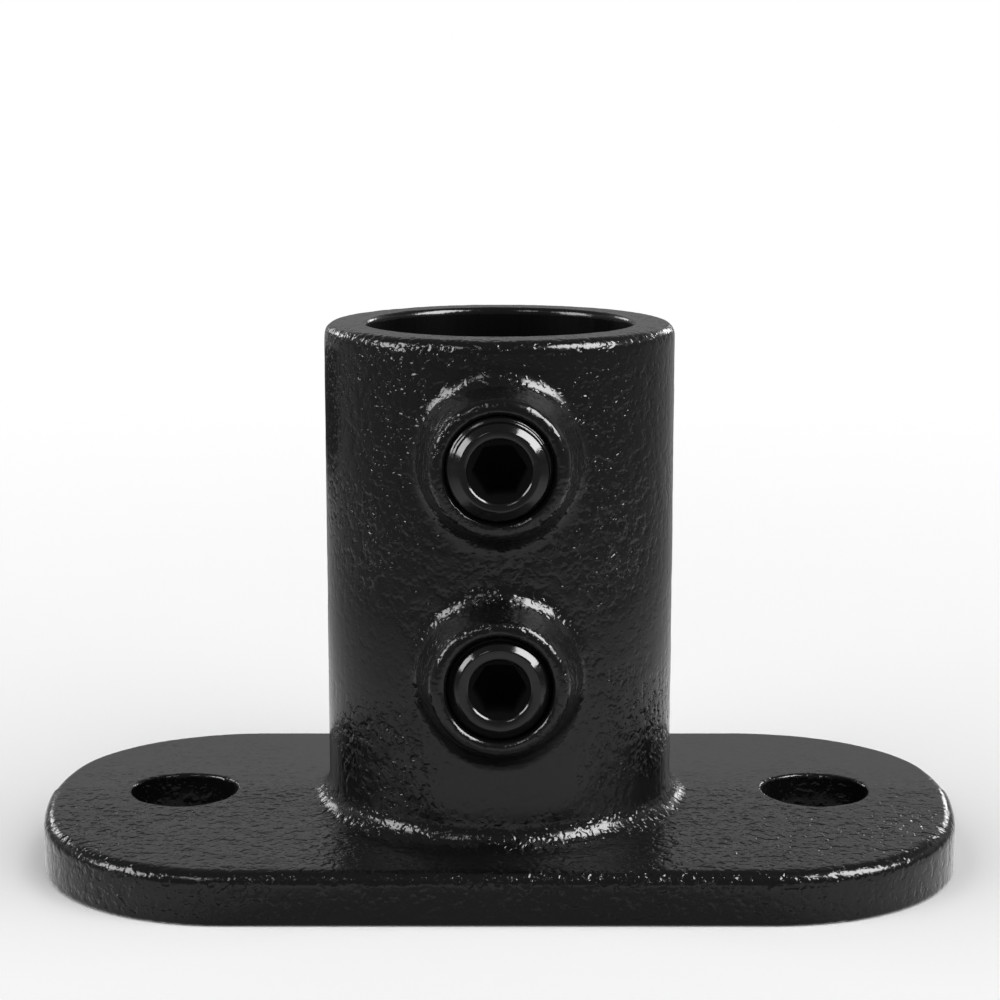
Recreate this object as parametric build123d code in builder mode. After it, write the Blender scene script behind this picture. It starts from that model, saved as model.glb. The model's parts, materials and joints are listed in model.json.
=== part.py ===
"""Tube clamp base flange for 33.7 mm tube: a cast body and two socket set screws, in millimetres.

The origin is on the collar's axis, in the plane of the underside. +Z runs up the collar, X runs
along the plate, and the screws are on the -Y side.
"""
import os
from math import atan2, degrees, hypot, radians, sqrt, tan

from build123d import *

os.makedirs("parts", exist_ok=True)

# base plate
plate_length = 122.0
plate_width = 64.4
corner_radius = 26.0
rim_height = 6.9           # thickness along the long edges
ridge_height = 8.1         # thickness on the mould's parting line, Y = 0
ridge_radius = 20.0        # the parting line's ridge is a little rounded
top_edge_radius = 1.8
bottom_edge_radius = 0.5

# fixing holes
hole_spacing = 85.5
hole_diameter = 14.0
hole_edge_radius = 0.5

# collar
collar_diameter = 46.0
collar_height = 71.6
collar_edge_radius = 1.6
bore_diameter = 35.0
bore_lip_radius = 0.8
base_fillet_radius = 3.0
stop_thickness = 3.0       # ledge that the tube's end stands on
stop_opening = 28.0

# screw bosses
screw_levels = {"lower": 29.1, "upper": 56.5}
boss_reach = 28.5          # from the collar's axis to the boss's face
boss_root = 12.0           # the cone starts here, inside the collar's wall
boss_face_diameter = 17.0
boss_draft = 15.0          # degrees
boss_edge_radius = 1.4
boss_fillet_radius = 2.8
mouth_diameter = 14.4

# set screws, G 1/4, drawn at the crest of the thread
screw_diameter = 13.157
screw_clearance = 0.05     # radial
screw_length = 11.0
screw_face_diameter = 10.2
screw_face_bevel = 1.3     # along the axis
tip_diameter = 9.6
tip_bevel = 1.2
cup_diameter = 6.0
cup_depth = 0.8
socket_across_flats = 6.0
socket_depth = 6.5
socket_turn = 0            # degrees; sets two of the six flats level
socket_mouth_diameter = 8.0
screw_stand_off = {"lower": 0.1, "upper": 1.0}    # outer face beyond the boss's face, at rest

base_blend_top = ridge_height + base_fillet_radius
boss_height = boss_reach - boss_root

# the plate's ends are arcs round the collar's axis, and its corners run into them
end_radius = plate_length / 2
corner_y = plate_width / 2 - corner_radius
corner_x = sqrt((end_radius - corner_radius) ** 2 - corner_y**2)
end_turn = degrees(atan2(corner_y, corner_x))


def front_plane(height, reach):
    """Plane square to Y on a screw's axis, its normal towards the front."""
    return Plane(origin=(0, -reach, height), x_dir=(1, 0, 0), z_dir=(0, -1, 0))


def on_collar(edge):
    """True for an edge that runs round the collar's wall."""
    middle = edge.position_at(0.5)
    return abs(hypot(middle.X, middle.Y) - collar_diameter / 2) < 0.01


with BuildPart() as flange_body:
    # plate: the outline, cut to a shallow roof that thins away from the mould's parting line
    with BuildSketch():
        with BuildLine():
            CenterArc((0, 0), end_radius, -end_turn, 2 * end_turn)
            CenterArc((corner_x, corner_y), corner_radius, end_turn, 90 - end_turn)
            CenterArc((corner_x, -corner_y), corner_radius, 270, 90 - end_turn)
            Line((corner_x, plate_width / 2), (0, plate_width / 2))
            Line((corner_x, -plate_width / 2), (0, -plate_width / 2))
            mirror(about=Plane.YZ)
        make_face()
    extrude(amount=ridge_height)
    with BuildSketch(Plane.YZ) as roof:
        with BuildLine():
            Polyline(
                (-plate_width / 2, 0),
                (plate_width / 2, 0),
                (plate_width / 2, rim_height),
                (0, ridge_height),
                (-plate_width / 2, rim_height),
                close=True,
            )
        make_face()
        fillet(roof.vertices().sort_by(Axis.Y)[-1], radius=ridge_radius)
    extrude(amount=end_radius, both=True, mode=Mode.INTERSECT)
    plate_rim = flange_body.edges().filter_by_position(Axis.Z, rim_height - 1, ridge_height)
    ridge_lines = plate_rim.filter_by(Axis.X).filter_by_position(Axis.Y, -ridge_radius, ridge_radius)
    fillet(plate_rim - ridge_lines, radius=top_edge_radius)
    fillet(flange_body.faces().sort_by(Axis.Z)[0].edges(), radius=bottom_edge_radius)

    # collar, blended into the plate
    with BuildSketch():
        Circle(collar_diameter / 2)
    extrude(amount=collar_height)
    collar_foot = flange_body.edges().filter_by_position(Axis.Z, rim_height, ridge_height)
    fillet(collar_foot.filter_by(on_collar), radius=base_fillet_radius)

    # screw bosses: drafted towards the front, blended into the collar
    for level in screw_levels.values():
        with Locations(front_plane(level, boss_root)):
            Cone(
                boss_face_diameter / 2 + boss_height * tan(radians(boss_draft)),
                boss_face_diameter / 2,
                boss_height,
                align=(Align.CENTER, Align.CENTER, Align.MIN),
            )
    boss_feet = flange_body.edges().filter_by_position(Axis.Z, base_blend_top, collar_height - 1)
    fillet(boss_feet.filter_by(on_collar), radius=boss_fillet_radius)
    boss_faces = flange_body.faces().filter_by_position(Axis.Y, -boss_reach - 0.1, -boss_reach + 0.1)
    fillet(boss_faces.edges(), radius=boss_edge_radius)

    # tube bore, down to the ledge that stops the tube, and the opening through the ledge
    fillet(flange_body.faces().sort_by(Axis.Z)[-1].edges(), radius=collar_edge_radius)
    with BuildSketch(Plane.XY.offset(stop_thickness)):
        Circle(bore_diameter / 2)
    extrude(amount=collar_height, mode=Mode.SUBTRACT)
    with BuildSketch():
        Circle(stop_opening / 2)
    extrude(amount=collar_height, mode=Mode.SUBTRACT)
    bore_lip = flange_body.faces().sort_by(Axis.Z)[-1].edges().sort_by(SortBy.LENGTH)[0]
    fillet(bore_lip, radius=bore_lip_radius)

    # screw holes, countersunk at the boss
    for level in screw_levels.values():
        with Locations(front_plane(level, boss_reach)):
            CounterSinkHole(
                radius=screw_diameter / 2 + screw_clearance,
                counter_sink_radius=mouth_diameter / 2,
                depth=boss_reach - stop_opening / 2,
                counter_sink_angle=90,
            )

    # fixing holes
    with Locations(Plane.XY.offset(ridge_height)):
        with GridLocations(hole_spacing, 0, 2, 1):
            Hole(hole_diameter / 2)
    hole_rims = flange_body.edges(Select.LAST).filter_by_position(Axis.Z, rim_height, ridge_height)
    fillet(hole_rims - hole_rims.filter_by(Axis.X), radius=hole_edge_radius)

flange_body.part.label = "flange_body"
export_step(flange_body.part, "parts/flange_body.step")

for place, level in screw_levels.items():
    reach = boss_reach + screw_stand_off[place]
    with BuildPart() as set_screw:
        # turned blank: flat outer face, threaded length, bevelled tip with a cup
        with BuildSketch(Plane(origin=(0, -reach, level), x_dir=(0, 1, 0), z_dir=(1, 0, 0))):
            with BuildLine():
                Polyline(
                    (0, 0),
                    (0, screw_face_diameter / 2),
                    (screw_face_bevel, screw_diameter / 2),
                    (screw_length - tip_bevel, screw_diameter / 2),
                    (screw_length, tip_diameter / 2),
                    (screw_length, cup_diameter / 2),
                    (screw_length - cup_depth, 0),
                    close=True,
                )
            make_face()
        revolve(axis=Axis((0, -reach, level), (0, 1, 0)))

        # hexagon socket with two level flats, and its countersunk mouth
        with BuildSketch(front_plane(level, reach)):
            RegularPolygon(socket_across_flats / 2, 6, major_radius=False, rotation=socket_turn)
        extrude(amount=-socket_depth, mode=Mode.SUBTRACT)
        with Locations(front_plane(level, reach)):
            CounterSinkHole(
                radius=socket_across_flats / 2,
                counter_sink_radius=socket_mouth_diameter / 2,
                depth=socket_depth,
                counter_sink_angle=90,
            )
    set_screw.part.label = f"{place}_set_screw"
    export_step(set_screw.part, f"parts/{place}_set_screw.step")
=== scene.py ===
import json
from math import atan2, cos, hypot, pi, radians, sin

import bmesh
import bpy
from mathutils import Matrix, Vector, noise


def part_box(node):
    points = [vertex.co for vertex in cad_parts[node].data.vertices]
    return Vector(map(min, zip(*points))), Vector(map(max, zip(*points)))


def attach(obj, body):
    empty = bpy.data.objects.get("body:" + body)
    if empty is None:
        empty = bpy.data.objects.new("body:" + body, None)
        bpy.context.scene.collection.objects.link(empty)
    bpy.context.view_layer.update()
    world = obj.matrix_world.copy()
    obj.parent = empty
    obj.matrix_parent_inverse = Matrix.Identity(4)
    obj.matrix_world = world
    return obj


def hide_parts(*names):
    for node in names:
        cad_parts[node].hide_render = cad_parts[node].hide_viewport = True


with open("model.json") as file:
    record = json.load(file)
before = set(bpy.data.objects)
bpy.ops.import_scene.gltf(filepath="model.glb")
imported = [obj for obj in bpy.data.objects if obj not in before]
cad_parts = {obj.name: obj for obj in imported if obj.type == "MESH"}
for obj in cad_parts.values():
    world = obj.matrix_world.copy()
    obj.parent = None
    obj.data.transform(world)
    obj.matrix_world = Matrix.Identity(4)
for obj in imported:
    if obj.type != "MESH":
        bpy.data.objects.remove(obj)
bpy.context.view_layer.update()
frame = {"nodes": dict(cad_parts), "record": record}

# Tube clamp base flange: the cast body and its two socket set screws, dressed around the CAD frame.
# Metres. Z runs up the collar, X along the plate, the screws are on the -Y side.

mm = 0.001
weldGap = 0.001 * mm    # points closer than this are one point
planeGap = 0.01 * mm    # and a point this close to a plane lies in it
scene = bpy.context.scene
scene.view_settings.view_transform = "Standard"


def smoothStep(low, high, value):
    share = min(1.0, max(0.0, (value - low) / (high - low)))
    return share * share * (3 - 2 * share)


def meshObject(name, mesh):
    piece = bpy.data.objects.new(name, mesh)
    scene.collection.objects.link(piece)
    return piece


def bakeModifiers(piece):
    # the evaluated mesh takes the place of the piece's own, and the modifiers go
    bpy.context.view_layer.update()
    evaluated = piece.evaluated_get(bpy.context.evaluated_depsgraph_get())
    baked = bpy.data.meshes.new_from_object(evaluated)
    piece.modifiers.clear()
    piece.data = baked


def shadeSmooth(mesh):
    mesh.polygons.foreach_set("use_smooth", [True] * len(mesh.polygons))
    mesh.update()


casting = {
    "node": "flange_body",
    "body": "flange",
    "slot": "coated_casting",
    "grainShare": "grainShare",     # the attribute that tells the coat how rough it is
    "voxel": 0.32 * mm,         # pitch of the remesh, below the smallest round edge
    "triangles": 180000,
    "sandDepth": 0.070 * mm,    # waviness left by the sand mould
    "sandSize": 2.6 * mm,
    "pebbleDepth": 0.075 * mm,  # finer pebbles on top of it
    "pebbleSize": 1.25 * mm,
    "pebbleShift": (7.3, 1.9, 4.1),         # so that the two don't line up
    "patchSize": 13 * mm,       # rough and smoother patches follow each other
    "patchSpread": 0.25,
    "patchLeast": 0.35,
    "plateTop": (9 * mm, 12 * mm),          # the plate's grain is even, up to here
    "plateShare": (0.95, 0.45),             # in front and behind
    "plateTurn": (-12 * mm, 18 * mm),
    "plateEnds": (57 * mm, 60.5 * mm),      # smoother on the end walls
    "endShare": 0.5,
    "collarSides": (17 * mm, 22 * mm),      # the collar's sides are a little smoother
    "sideShare": 0.7,
    "rim": (68 * mm, 70.5 * mm, 0.75),      # and its rim is rough
    "spotCore": 0.5,            # share of a spot's reach that is even
    # spots on the collar's front, where the coat lies thick or thin: across, up, reach and share
    "spots": (
        (-13 * mm, 48 * mm, 12 * mm, 1.1),
        (12 * mm, 48 * mm, 12 * mm, 1.3),
        (0 * mm, 43 * mm, 7 * mm, 1.2),
        (0 * mm, 56.5 * mm, 12 * mm, 1.1),
        (0 * mm, 29.1 * mm, 11 * mm, 1.0),
        (-15 * mm, 17 * mm, 8 * mm, 1.2),
        (19 * mm, 20 * mm, 8 * mm, 1.2),
        (-17 * mm, 31 * mm, 9 * mm, 0.15),
        (17 * mm, 33 * mm, 6 * mm, 0.4),
        (2 * mm, 13 * mm, 12 * mm, 0.15),
        (-13 * mm, 62 * mm, 11 * mm, 1.3),
        (15 * mm, 63 * mm, 9 * mm, 0.9),
    ),
    "bossShare": 0.9,          # how much of the grain is left on and round the bosses
    "bossNear": 8 * mm,
    "bossFar": 14 * mm,
    "flatEdge": (0.1 * mm, 1.2 * mm),       # the grain fades in above the ground underside
    "boreEdge": (0.2 * mm, 1.6 * mm),       # and outside the bore's lip
    "ledge": (3 * mm, 14.5 * mm, 17 * mm),  # height of the tube's ledge, and the fade round its opening
    "screwEdge": (0.25 * mm, 0.9 * mm),     # and outside the tapped holes
    "holeEdge": (0.1 * mm, 1.2 * mm),       # how far the fixing holes' walls reach into the faces
    "holeWander": 0.14 * mm,    # the cast holes are a little out of round
    "holeWave": 5 * mm,
    "mismatch": 0.30 * mm,      # the mould's rear half sits a little inside the front one on the plate
    "mismatchTurn": (-0.10 * mm, 0.30 * mm),
    "topMismatch": 0.2,         # share of it on level faces
    "seamWidth": 0.45 * mm,     # the mould's parting line stands a little proud
    "seamHeight": 0.020 * mm,
    "seamCore": 0.3,            # share of its width at full height
}

castLow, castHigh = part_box(casting["node"])
mounts = {mount["name"]: mount["dims"] for mount in frame["record"]["mounts"]}
boreRadius = mounts["tube_socket"]["r_mm"] * mm
holeReach = mounts["fixing_holes"]["spacing_x_mm"] * mm / 2
holeRadius = mounts["fixing_holes"]["hole_r_mm"] * mm
screwPlaces = {}
for screwNode in ("lower_set_screw", "upper_set_screw"):
    screwLow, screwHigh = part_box(screwNode)
    screwPlaces[screwNode] = {
        "height": (screwLow.z + screwHigh.z) / 2,
        "face": screwLow.y,
        "length": screwHigh.y - screwLow.y,
        "radius": (screwHigh.z - screwLow.z) / 2,
    }


def sandShare(p):
    # 0 on machined and ground faces, about 1 on the open cast skin
    fromAxis = hypot(p.x, p.y)
    share = smoothStep(*casting["flatEdge"], p.z)
    ledgeTop, ledgeIn, ledgeOut = casting["ledge"]
    if p.z > ledgeTop:
        share *= smoothStep(*casting["boreEdge"], fromAxis - boreRadius)
    else:
        share *= smoothStep(ledgeIn, ledgeOut, fromAxis)
    collar = smoothStep(*casting["plateTop"], p.z)
    if collar > 0:
        spread = casting["patchSpread"]
        patch = smoothStep(-spread, spread, noise.noise(p / casting["patchSize"]))
        patch = casting["patchLeast"] + (1 - casting["patchLeast"]) * patch
        if p.y < 0:
            for across, up, reach, spotShare in casting["spots"]:
                near = 1 - smoothStep(reach * casting["spotCore"], reach, hypot(p.x - across, p.z - up))
                patch += (spotShare - patch) * near
        patch *= 1 - (1 - casting["sideShare"]) * smoothStep(*casting["collarSides"], abs(p.x))
        rimFrom, rimTo, rimShare = casting["rim"]
        patch = max(patch, rimShare * smoothStep(rimFrom, rimTo, p.z))
    else:
        patch = 0
    front, rear = casting["plateShare"]
    plate = front + (rear - front) * smoothStep(*casting["plateTurn"], p.y)
    plate *= 1 - (1 - casting["endShare"]) * smoothStep(*casting["plateEnds"], hypot(p.x, p.y))
    share *= plate + (patch - plate) * collar
    if p.y < 0:
        for place in screwPlaces.values():
            fromScrew = hypot(p.x, p.z - place["height"])
            share *= smoothStep(*casting["screwEdge"], fromScrew - place["radius"])
            away = smoothStep(casting["bossNear"], casting["bossFar"], fromScrew)
            share *= casting["bossShare"] + (1 - casting["bossShare"]) * away
    return share


def sandDepth(p):
    # how far the cast skin lies under the drawn surface
    sand = 0.5 + 0.5 * noise.noise(p / casting["sandSize"])
    pebble = 0.5 + 0.5 * noise.noise(p / casting["pebbleSize"] + Vector(casting["pebbleShift"]))
    return casting["sandDepth"] * sand + casting["pebbleDepth"] * pebble


def holeDepth(p):
    # the fixing holes' walls wander outwards by a little
    fromHole = hypot(abs(p.x) - holeReach, p.y) - holeRadius
    near = 1 - smoothStep(*casting["holeEdge"], abs(fromHole))
    return casting["holeWander"] * near * (0.5 + 0.5 * noise.noise(p / casting["holeWave"]))


def seamShare(p):
    # 1 on the parting line, which runs over the plate and up the collar's sides in the plane Y = 0
    return 1 - smoothStep(casting["seamWidth"] * casting["seamCore"], casting["seamWidth"], abs(p.y))


def mismatchDepth(vert):
    # the step along the parting line, on the plate's ends and top
    p = vert.co
    rear = smoothStep(*casting["mismatchTurn"], p.y) * smoothStep(*casting["flatEdge"], p.z)
    plate = 1 - smoothStep(*casting["plateTop"], p.z)
    outside = smoothStep(*casting["holeEdge"], abs(hypot(abs(p.x) - holeReach, p.y) - holeRadius))
    level = abs(vert.normal.z)
    return casting["mismatch"] * rear * plate * outside * (1 - (1 - casting["topMismatch"]) * level)


def makeCasting():
    source = frame["nodes"][casting["node"]]
    bm = bmesh.new()
    bm.from_mesh(source.data)
    bmesh.ops.remove_doubles(bm, verts=bm.verts, dist=weldGap)
    mesh = bpy.data.meshes.new("coatedCasting")
    bm.to_mesh(mesh)
    bm.free()
    piece = meshObject("coatedCasting", mesh)
    grain = piece.modifiers.new("evenGrain", "REMESH")
    grain.mode = "VOXEL"
    grain.voxel_size = casting["voxel"]
    grain.adaptivity = 0
    bakeModifiers(piece)

    bm = bmesh.new()
    bm.from_mesh(piece.data)
    bm.normal_update()
    for vert in bm.verts:
        depth = casting["seamHeight"] * (1 - seamShare(vert.co)) + sandDepth(vert.co)
        vert.co -= vert.normal * (depth * sandShare(vert.co) + holeDepth(vert.co) + mismatchDepth(vert))
    for vert in bm.verts:
        vert.co.x = min(castHigh.x, max(castLow.x, vert.co.x))
        vert.co.y = min(castHigh.y, max(castLow.y, vert.co.y))
        vert.co.z = min(castHigh.z, max(castLow.z, vert.co.z))
    bm.to_mesh(piece.data)
    bm.free()

    thin = piece.modifiers.new("thin", "DECIMATE")
    thin.ratio = casting["triangles"] / (2 * len(piece.data.polygons))
    bakeModifiers(piece)
    shadeSmooth(piece.data)
    # the coat's fine grain keeps to the same places
    share = piece.data.attributes.new(casting["grainShare"], "FLOAT", "POINT")
    share.data.foreach_set("value", [sandShare(vert.co) for vert in piece.data.vertices])
    print("casting:", len(piece.data.polygons), "faces")
    return piece


setScrew = {
    "slot": "coated_screw",
    "crest": 6.54 * mm,         # radius over the thread, just inside the tapped hole
    "pitch": 1.337 * mm,        # G 1/4
    "threadDepth": 0.80 * mm,
    "segments": 72,             # in one turn
    "outlinePoints": 8,         # along one pitch of the thread
    "leadTurns": 1.5,           # turns swept before the face and after the tip, then cut off
    "flank": (0.12, 0.88),      # where the wave turns into crest and root
    "threadStart": (0.35 * mm, 1.3 * mm),   # the thread fades in behind the face
    "bevelSlope": 1.2,          # radius gained for each step behind the face
    "tipRadius": 4.8 * mm,
    "tipSlope": 1.25,
    "cupRadius": 3.0 * mm,
    "cupDepth": 0.8 * mm,
    "acrossFlats": 6.0 * mm,
    "socketDepth": 6.5 * mm,
    "mouthBevel": (0.40 * mm, 0.36 * mm),   # the mouth's turned edge, across and along
    "socketSlope": 1.3,         # the dark cone behind it, depth for each step inwards
    "drillPoint": 1.0 * mm,
    "edge": 0.10 * mm,          # the coat rounds each edge by this much
    "edgeCut": 0.4,             # share of it on each side of the mouth's turned edge
    "edgeDip": 0.6,             # and where the cone meets the hexagon
    "tipSize": 0.3 * mm,        # the last small ring before a point closes
    "tipRise": 0.1 * mm,
}
# radii of the flat outer face and of the socket's mouth, and how far the screw is turned at rest
screwLooks = {
    "lower_set_screw": {
        "name": "lowerSetScrew",
        "body": "lower_screw",
        "face": 5.1 * mm,
        "mouth": 4.1 * mm,
        "turn": 0,
    },
    "upper_set_screw": {
        "name": "upperSetScrew",
        "body": "upper_screw",
        "face": 4.9 * mm,
        "mouth": 4.25 * mm,
        "turn": radians(4),
    },
}


def threadRadius(turn):
    # rounded crest and root, from one pitch to the next
    wave = 0.5 + 0.5 * cos(2 * pi * turn)
    flank = smoothStep(*setScrew["flank"], wave)
    return setScrew["crest"] - setScrew["threadDepth"] * (1 - flank)


def chamferRadius(depth, length, face):
    # radius that the turned chamfers at the face and the tip leave
    atFace = face + setScrew["bevelSlope"] * depth
    atTip = setScrew["tipRadius"] + setScrew["tipSlope"] * (length - depth)
    return min(setScrew["crest"], atFace, atTip)


def ringOn(bm, edges, radiusAt, depthAt, centre, coatIndex):
    # one more ring of faces, its new edge at a radius and a depth that depend on the angle
    made = bmesh.ops.extrude_edge_only(bm, edges=edges)["geom"]
    verts = [g for g in made if isinstance(g, bmesh.types.BMVert)]
    for vert in verts:
        angle = atan2(vert.co.z - centre.z, vert.co.x - centre.x)
        reach = radiusAt(angle)
        vert.co = centre + Vector((reach * cos(angle), depthAt(angle), reach * sin(angle)))
    for face in made:
        if isinstance(face, bmesh.types.BMFace):
            face.material_index = coatIndex
    fresh = set(verts)
    return [g for g in made if isinstance(g, bmesh.types.BMEdge) and set(g.verts) <= fresh]


def rings(bm, edges, rows, centre, coatIndex=0):
    # each row is a radius and a depth, either of them a value or a function of the angle
    for reach, depth in rows:
        radiusAt = reach if callable(reach) else (lambda angle, r=reach: r)
        depthAt = depth if callable(depth) else (lambda angle, d=depth: d)
        edges = ringOn(bm, edges, radiusAt, depthAt, centre, coatIndex)
    return edges


def closeRing(bm, edges, point):
    verts = list(dict.fromkeys(v for e in edges for v in e.verts))
    bmesh.ops.pointmerge(bm, verts=verts, merge_co=point)


def endRing(bm, y):
    # the open edges that lie in one plane square to Y
    return [e for e in bm.edges if e.is_boundary and all(abs(v.co.y - y) < planeGap for v in e.verts)]


def makeScrew(node):
    place, looks = screwPlaces[node], screwLooks[node]
    length = place["length"]
    centre = Vector((0, place["face"], place["height"]))
    turns = int(length / setScrew["pitch"] + 2 * setScrew["leadTurns"])

    # one pitch of the thread's outline, swept into a helix round the Y axis
    bm = bmesh.new()
    points = setScrew["outlinePoints"]
    start = -setScrew["leadTurns"] * setScrew["pitch"]
    outline = [
        bm.verts.new((threadRadius(i / points), start + setScrew["pitch"] * i / points, 0))
        for i in range(points + 1)
    ]
    for a, b in zip(outline, outline[1:]):
        bm.edges.new((a, b))
    mesh = bpy.data.meshes.new(looks["name"])
    bm.to_mesh(mesh)
    bm.free()
    piece = meshObject(looks["name"], mesh)
    helix = piece.modifiers.new("helix", "SCREW")
    helix.axis = "Y"
    helix.screw_offset = setScrew["pitch"]
    helix.iterations = turns
    helix.steps = setScrew["segments"]
    helix.render_steps = setScrew["segments"]
    bakeModifiers(piece)

    bm = bmesh.new()
    bm.from_mesh(piece.data)
    bmesh.ops.remove_doubles(bm, verts=bm.verts, dist=weldGap)
    for end, keepAbove in ((0, True), (length, False)):
        bmesh.ops.bisect_plane(
            bm, geom=bm.verts[:] + bm.edges[:] + bm.faces[:], dist=weldGap / 2,
            plane_co=(0, end, 0), plane_no=(0, -1 if keepAbove else 1, 0), clear_outer=True,
        )
    face = looks["face"]
    for vert in bm.verts:
        reach = hypot(vert.co.x, vert.co.z)
        limit = chamferRadius(vert.co.y, length, face)
        threaded = smoothStep(*setScrew["threadStart"], vert.co.y)
        wanted = limit + (min(reach, limit) - limit) * threaded
        vert.co.x *= wanted / reach
        vert.co.z *= wanted / reach
    bmesh.ops.translate(bm, verts=bm.verts, vec=centre)

    # outer face and the mouth's turned edge
    mouth, edge, turn = looks["mouth"], setScrew["edge"], looks["turn"]
    across, along = setScrew["mouthBevel"]
    throat = mouth - across
    cut = edge * setScrew["edgeCut"]
    onFace = rings(bm, endRing(bm, centre.y), [
        (face - edge, 0),
        (mouth + edge, 0),
        (mouth - cut, cut),
        (throat + cut, along - cut),
    ], centre)

    # the socket: a round throat that narrows to a hexagon, two flats about level, then the drill's point
    sixth = 2 * pi / 6

    def hexRadius(angle):
        within = (angle - turn) % sixth - sixth / 2
        return setScrew["acrossFlats"] / 2 / cos(within)

    def hexDepth(angle):
        return along + setScrew["socketSlope"] * (throat - hexRadius(angle))

    bottom = setScrew["socketDepth"]
    point = bottom + setScrew["drillPoint"]
    inSocket = rings(bm, onFace, [
        (throat, along + edge),
        (lambda angle: hexRadius(angle) + edge, lambda angle: hexDepth(angle) - edge * setScrew["edgeDip"]),
        (hexRadius, lambda angle: hexDepth(angle) + edge),
        (hexRadius, bottom - edge),
        (lambda angle: hexRadius(angle) - edge, bottom),
        (setScrew["tipSize"], point - setScrew["tipRise"]),
    ], centre, coatIndex=1)
    closeRing(bm, inSocket, centre + Vector((0, point, 0)))

    # tip with its cup
    tip = centre + Vector((0, length, 0))
    inCup = rings(bm, endRing(bm, tip.y), [
        (setScrew["tipRadius"] - edge, 0),
        (setScrew["cupRadius"] + edge, 0),
        (setScrew["cupRadius"] - edge, -edge),
        (setScrew["tipSize"], setScrew["tipRise"] - setScrew["cupDepth"]),
    ], tip)
    closeRing(bm, inCup, tip - Vector((0, setScrew["cupDepth"], 0)))
    bmesh.ops.remove_doubles(bm, verts=bm.verts, dist=weldGap)
    bmesh.ops.dissolve_degenerate(bm, edges=bm.edges, dist=weldGap / 2)
    bmesh.ops.recalc_face_normals(bm, faces=bm.faces)
    openEdges = sum(not e.is_manifold for e in bm.edges)
    bm.to_mesh(piece.data)
    bm.free()
    shadeSmooth(piece.data)
    print(f"{looks['name']}: {len(piece.data.polygons)} faces, {openEdges} open edges")
    return piece


def combine(tree, operation, *values):
    # one Math node over a row of sockets and plain values
    made = tree.nodes.new("ShaderNodeMath")
    made.operation = operation
    for slot, value in zip(made.inputs, values):
        if isinstance(value, (int, float)):
            slot.default_value = value
        else:
            tree.links.new(value, slot)
    return made.outputs["Value"]


def fade(tree, value, start, stop, first, last):
    # a smooth step from first to last, where each may be a value or a socket
    made = tree.nodes.new("ShaderNodeMapRange")
    made.interpolation_type = "SMOOTHSTEP"
    tree.links.new(value, made.inputs["Value"])
    for name, setting in (("From Min", start), ("From Max", stop), ("To Min", first), ("To Max", last)):
        if isinstance(setting, (int, float)):
            made.inputs[name].default_value = setting
        else:
            tree.links.new(setting, made.inputs[name])
    return made.outputs["Result"]


grainLook = {
    "pebbleDetail": 1.0,
    "speckDetail": 0.0,
    "pits": (0.46, 0.74),       # where the texture turns into pits
    "specks": (0.58, 0.85),
    "patches": (0.40, 0.60),
}
grainInputs = ("Pebble Scale", "Speck Scale", "Speck Share", "Patch Scale", "Patch Least", "Share")


def makeGrainGroup():
    # pebbled coat over cast metal: shallow pits and sparse specks, in rougher and smoother patches
    group = bpy.data.node_groups.new("coatGrain", "ShaderNodeTree")
    for name in grainInputs:
        group.interface.new_socket(name=name, in_out="INPUT", socket_type="NodeSocketFloat")
    group.interface.new_socket(name="Height", in_out="OUTPUT", socket_type="NodeSocketFloat")
    enter = group.nodes.new("NodeGroupInput")
    leave = group.nodes.new("NodeGroupOutput")
    place = group.nodes.new("ShaderNodeTexCoord")

    def grain(scale, detail):
        texture = group.nodes.new("ShaderNodeTexNoise")
        texture.inputs["Detail"].default_value = detail
        group.links.new(place.outputs["Object"], texture.inputs["Vector"])
        group.links.new(enter.outputs[scale], texture.inputs["Scale"])
        return texture.outputs["Fac"]

    pebbleDetail, speckDetail = grainLook["pebbleDetail"], grainLook["speckDetail"]
    pits = fade(group, grain("Pebble Scale", pebbleDetail), *grainLook["pits"], 0, -1)
    speckShare, patchLeast = enter.outputs["Speck Share"], enter.outputs["Patch Least"]
    specks = fade(group, grain("Speck Scale", speckDetail), *grainLook["specks"], 0, speckShare)
    patches = fade(group, grain("Patch Scale", pebbleDetail), *grainLook["patches"], patchLeast, 1)
    share = combine(group, "MULTIPLY", patches, enter.outputs["Share"])
    height = combine(group, "MULTIPLY", combine(group, "ADD", pits, specks), share)
    group.links.new(height, leave.inputs["Height"])
    return group


def coatMaterial(name, grainGroup, values):
    material = bpy.data.materials.new(name)
    material.use_nodes = True
    tree = material.node_tree
    shader = tree.nodes["Principled BSDF"]
    shader.inputs["Base Color"].default_value = (*values["colour"], 1)
    shader.inputs["Specular IOR Level"].default_value = values["specular"]
    grain = tree.nodes.new("ShaderNodeGroup")
    grain.node_tree = grainGroup
    for socket in grainInputs:
        grain.inputs[socket].default_value = values[socket]
    if "shareFrom" in values:
        share = tree.nodes.new("ShaderNodeAttribute")
        share.attribute_name = values["shareFrom"]
        tree.links.new(share.outputs["Fac"], grain.inputs["Share"])
    # a reflection of a reflection is blurred
    view = tree.nodes.new("ShaderNodeLightPath")
    blur = combine(tree, "MULTIPLY", view.outputs["Is Glossy Ray"], values["mirrorBlur"])
    tree.links.new(combine(tree, "ADD", blur, values["roughness"]), shader.inputs["Roughness"])
    bump = tree.nodes.new("ShaderNodeBump")
    bump.inputs["Strength"].default_value = 1.0
    bump.inputs["Distance"].default_value = values["bumpDepth"]
    tree.links.new(grain.outputs["Height"], bump.inputs["Height"])
    tree.links.new(bump.outputs["Normal"], shader.inputs["Normal"])
    return material


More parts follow.
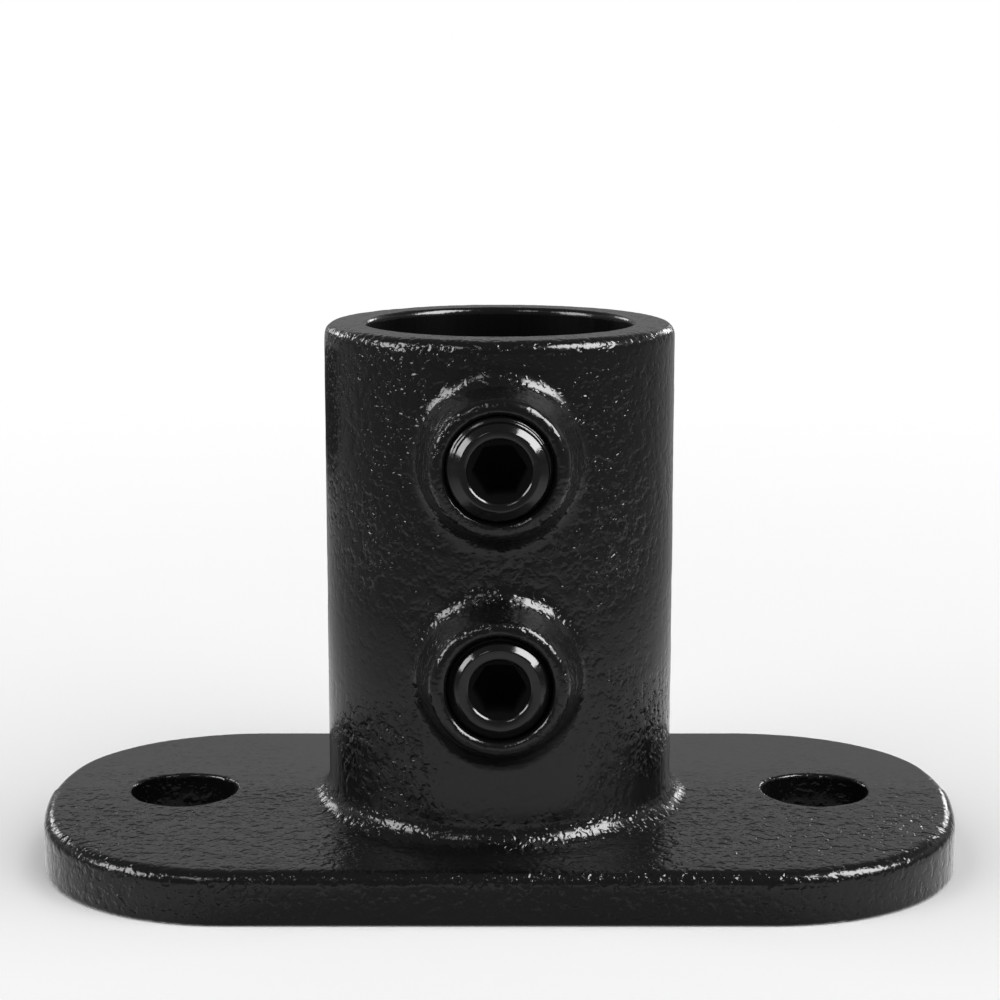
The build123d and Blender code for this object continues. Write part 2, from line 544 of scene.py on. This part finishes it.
coats = {
    "castCoat": {
        "colour": (0.0035, 0.0035, 0.0038),
        "specular": 0.25,
        "roughness": 0.17,
        "mirrorBlur": 0.30,
        "bumpDepth": 0.10 * mm,
        "Pebble Scale": 850.0,      # cells in a metre
        "Speck Scale": 2300.0,
        "Speck Share": 0.5,
        "Patch Scale": 80.0,
        "Patch Least": 0.6,
        "Share": 1.0,
        "shareFrom": casting["grainShare"],
    },
    "screwCoat": {
        "colour": (0.0035, 0.0035, 0.0037),
        "specular": 0.28,
        "roughness": 0.14,
        "mirrorBlur": 0.20,
        "bumpDepth": 0.012 * mm,
        "Pebble Scale": 700.0,
        "Speck Scale": 2400.0,
        "Speck Share": 0.5,
        "Patch Scale": 200.0,
        "Patch Least": 0.5,
        "Share": 1.0,
    },
    "socketShade": {
        "colour": (0.006, 0.006, 0.006),
        "specular": 0.0,
        "roughness": 0.6,
        "mirrorBlur": 0.0,
        "bumpDepth": 0.012 * mm,
        "Pebble Scale": 700.0,
        "Speck Scale": 2400.0,
        "Speck Share": 0.5,
        "Patch Scale": 200.0,
        "Patch Least": 0.5,
        "Share": 1.0,
    },
}

studio = {
    "floorHalf": 6.0,
    "aimHeight": 0.04,   # the boxes face a point this high on the collar's axis
    "floorColour": (0.96, 0.96, 0.96),
    "fadeFrom": 0.07,    # from here out to fadeTo the floor turns into the white backdrop
    "fadeTo": 0.45,
    # the floor mirrored in the gloss coat is a painted glow with painted light and shade, its strength at
    # each distance from the object
    "paintedContactShade": (0.45, 0.045, 0.065),        # painted shade under and close round it, and where that ends
    "paintedPoolCentre": (0.02, -0.06, 0.0),
    "paintedPool": (1.20, 0.03, 0.25),             # a painted pool of light in front of it, and where it fades into the room
    "far": 0.38,
    "paintedShadeCorner": (-0.26, 0.40, 0.0),       # painted shade behind the object on the left
    "paintedCornerShade": (0.10, 0.15, 0.23),
    # the backdrop mirrored in it, degrees over the horizon
    "sweepLow": (0.20, 4, 20),
    "sweepMiddle": (0.60, 24, 38),
    "room": 0.14,                           # the dim room over it
    "behindCamera": (0.12, -0.45, 0.10),    # and its share on the camera's side
    "ambient": 0.26,                        # what all of it adds to plain colours
}
# plain light for every colour: direction, strength and width
suns = {
    "rightSun": {"toward": (0.70, -0.34, 0.63), "strength": 2.1, "angle": radians(70)},
    "leftSun": {"toward": (-0.80, -0.26, 0.54), "strength": 1.7, "angle": radians(70)},
}
# soft boxes, seen only as reflections in the gloss coat: direction, distance,
# size along the arc and across it, and glow
boxes = {
    "rightBox": {"toward": (0.70, -0.34, 0.63), "away": 0.8, "size": (0.55, 0.42), "glow": 30.0},
    "leftBox": {"toward": (-0.85, -0.26, 0.44), "away": 0.8, "size": (0.36, 0.36), "glow": 17.0},
    "leftHighBox": {"toward": (-0.362, -0.652, 0.664), "away": 0.8, "size": (0.16, 0.20), "glow": 9.0},
    "backRightBox": {"toward": (0.47, 0.84, 0.25), "away": 0.8, "size": (0.14, 0.20), "glow": 7.0},
    "backLeftBox": {"toward": (-0.58, 0.74, 0.33), "away": 0.8, "size": (0.14, 0.30), "glow": 6.0},
}
camera = {
    "place": (0.00005, -0.3148, 0.1054),
    "tilt": radians(79.61),
    "lens": 86.69,
    "sensor": 36.0,
    "clip": (0.01, 50),
}


def makeFloor():
    bm = bmesh.new()
    bmesh.ops.create_grid(bm, x_segments=2, y_segments=2, size=studio["floorHalf"])
    mesh = bpy.data.meshes.new("floor")
    bm.to_mesh(mesh)
    bm.free()
    floor = meshObject("floor", mesh)
    material = bpy.data.materials.new("paleFloorPaintedMirror")
    material.use_nodes = True
    tree = material.node_tree
    link = tree.links.new
    shader = tree.nodes["Principled BSDF"]
    shader.inputs["Base Color"].default_value = (*studio["floorColour"], 1)
    shader.inputs["Roughness"].default_value = 1.0
    shader.inputs["Specular IOR Level"].default_value = 0.0
    place = tree.nodes.new("ShaderNodeTexCoord")

    def distance(point):
        made = tree.nodes.new("ShaderNodeVectorMath")
        made.operation = "DISTANCE"
        link(place.outputs["Object"], made.inputs[0])
        made.inputs[1].default_value = point
        return made.outputs["Value"]

    # mirrored, the floor glows with painted light and shade: painted shade close to the object, then a
    # painted pool of light in front of it, then the room, with a painted dark corner
    away = distance((0, 0, 0))
    paintedPool, poolFrom, poolTo = studio["paintedPool"]
    paintedContactShade, contactFrom, contactTo = studio["paintedContactShade"]
    dark, darkFrom, darkTo = studio["paintedCornerShade"]
    # painted pool of light in front of the object, fading into the room
    paintedPoolAndCorner = fade(tree, distance(studio["paintedPoolCentre"]), poolFrom, poolTo, paintedPool, studio["far"])
    # painted shade in the corner behind the object on the left
    corner = fade(tree, distance(studio["paintedShadeCorner"]), darkFrom, darkTo, dark, 1)
    paintedPoolAndCorner = combine(tree, "MULTIPLY", paintedPoolAndCorner, corner)
    # painted shade close round the object, seen only in reflections
    close = fade(tree, away, contactFrom, contactTo, paintedContactShade, paintedPool)
    mirrored = combine(tree, "MINIMUM", close, paintedPoolAndCorner)

    # seen directly or through glass it keeps its shading, and fades into white
    view = tree.nodes.new("ShaderNodeLightPath")
    direct = combine(tree, "MAXIMUM", view.outputs["Is Camera Ray"], view.outputs["Is Transmission Ray"])
    white = combine(tree, "MULTIPLY", direct, fade(tree, away, studio["fadeFrom"], studio["fadeTo"], 0, 1))
    glow = tree.nodes.new("ShaderNodeEmission")
    # for glossy rays the floor shows this painted glow in place of its lit colour
    link(combine(tree, "MAXIMUM", direct, mirrored), glow.inputs["Strength"])
    mixed = tree.nodes.new("ShaderNodeMixShader")
    link(combine(tree, "MAXIMUM", white, view.outputs["Is Glossy Ray"]), mixed.inputs["Fac"])
    link(shader.outputs["BSDF"], mixed.inputs[1])
    link(glow.outputs["Emission"], mixed.inputs[2])
    link(mixed.outputs["Shader"], tree.nodes["Material Output"].inputs["Surface"])
    mesh.materials.append(material)


def makeWorld():
    # white where it is seen; mirrored, a pale sweep that ends in a dim room; plain light for the rest
    world = bpy.data.worlds.new("studio")
    scene.world = world
    world.use_nodes = True
    tree = world.node_tree
    place = tree.nodes.new("ShaderNodeTexCoord")
    split = tree.nodes.new("ShaderNodeSeparateXYZ")
    tree.links.new(place.outputs["Generated"], split.inputs["Vector"])
    upward = split.outputs["Z"]
    lowGlow, lowFrom, lowTo = studio["sweepLow"]
    midGlow, midFrom, midTo = studio["sweepMiddle"]
    lower = fade(tree, upward, sin(radians(lowFrom)), sin(radians(lowTo)), lowGlow - midGlow, 0)
    middle = fade(tree, upward, sin(radians(midFrom)), sin(radians(midTo)), midGlow, studio["room"])
    behind, behindFrom, behindTo = studio["behindCamera"]
    side = fade(tree, split.outputs["Y"], behindFrom, behindTo, behind, 1)
    sweep = combine(tree, "MULTIPLY", combine(tree, "ADD", lower, middle), side)
    view = tree.nodes.new("ShaderNodeLightPath")
    direct = combine(tree, "MAXIMUM", view.outputs["Is Camera Ray"], view.outputs["Is Transmission Ray"])
    mirrored = combine(tree, "MULTIPLY", view.outputs["Is Glossy Ray"], sweep)
    seen = combine(tree, "MAXIMUM", direct, mirrored)
    strength = combine(tree, "MAXIMUM", seen, studio["ambient"])
    back = tree.nodes["Background"]
    tree.links.new(strength, back.inputs["Strength"])
    back.inputs["Color"].default_value = (1, 1, 1, 1)


def aim(lamp, toward):
    # the lamp's first side lies in the plane square to Y
    zAxis = toward
    xAxis = (Vector((0, 1, 0)).cross(zAxis)).normalized()
    yAxis = zAxis.cross(xAxis)
    lamp.rotation_mode = "QUATERNION"
    lamp.rotation_quaternion = Matrix((xAxis, yAxis, zAxis)).transposed().to_quaternion()


def makeSun(name, values):
    data = bpy.data.lights.new(name, "SUN")
    data.energy = values["strength"]
    data.angle = values["angle"]
    lamp = bpy.data.objects.new(name, data)
    scene.collection.objects.link(lamp)
    aim(lamp, Vector(values["toward"]).normalized())
    lamp.visible_glossy = False


def makeBox(name, values):
    data = bpy.data.lights.new(name, "AREA")
    data.shape = "RECTANGLE"
    data.size, data.size_y = values["size"]
    data.energy = values["glow"] * data.size * data.size_y * pi    # the same glow at any size
    lamp = bpy.data.objects.new(name, data)
    scene.collection.objects.link(lamp)
    toward = Vector(values["toward"]).normalized()
    lamp.location = Vector((0, 0, studio["aimHeight"])) + toward * values["away"]
    aim(lamp, toward)
    lamp.visible_camera = False
    lamp.visible_diffuse = False


def makeCamera():
    data = bpy.data.cameras.new("camera")
    data.lens = camera["lens"]
    data.sensor_width = camera["sensor"]
    data.clip_start, data.clip_end = camera["clip"]
    made = bpy.data.objects.new("camera", data)
    scene.collection.objects.link(made)
    made.location = camera["place"]
    made.rotation_euler = (camera["tilt"], 0, 0)
    scene.camera = made


grainGroup = makeGrainGroup()
coated = {name: coatMaterial(name, grainGroup, values) for name, values in coats.items()}

flange = makeCasting()
flange.data.materials.clear()
flange.data.materials.append(coated["castCoat"])
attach(flange, casting["body"])
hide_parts(casting["node"])

for screwNode, looks in screwLooks.items():
    screw = makeScrew(screwNode)
    screw.data.materials.append(coated["screwCoat"])
    screw.data.materials.append(coated["socketShade"])
    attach(screw, looks["body"])
    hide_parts(screwNode)

makeFloor()
makeWorld()
for lampName, values in suns.items():
    makeSun(lampName, values)
for lampName, values in boxes.items():
    makeBox(lampName, values)
makeCamera()
print("studio: floor, world and lamps")
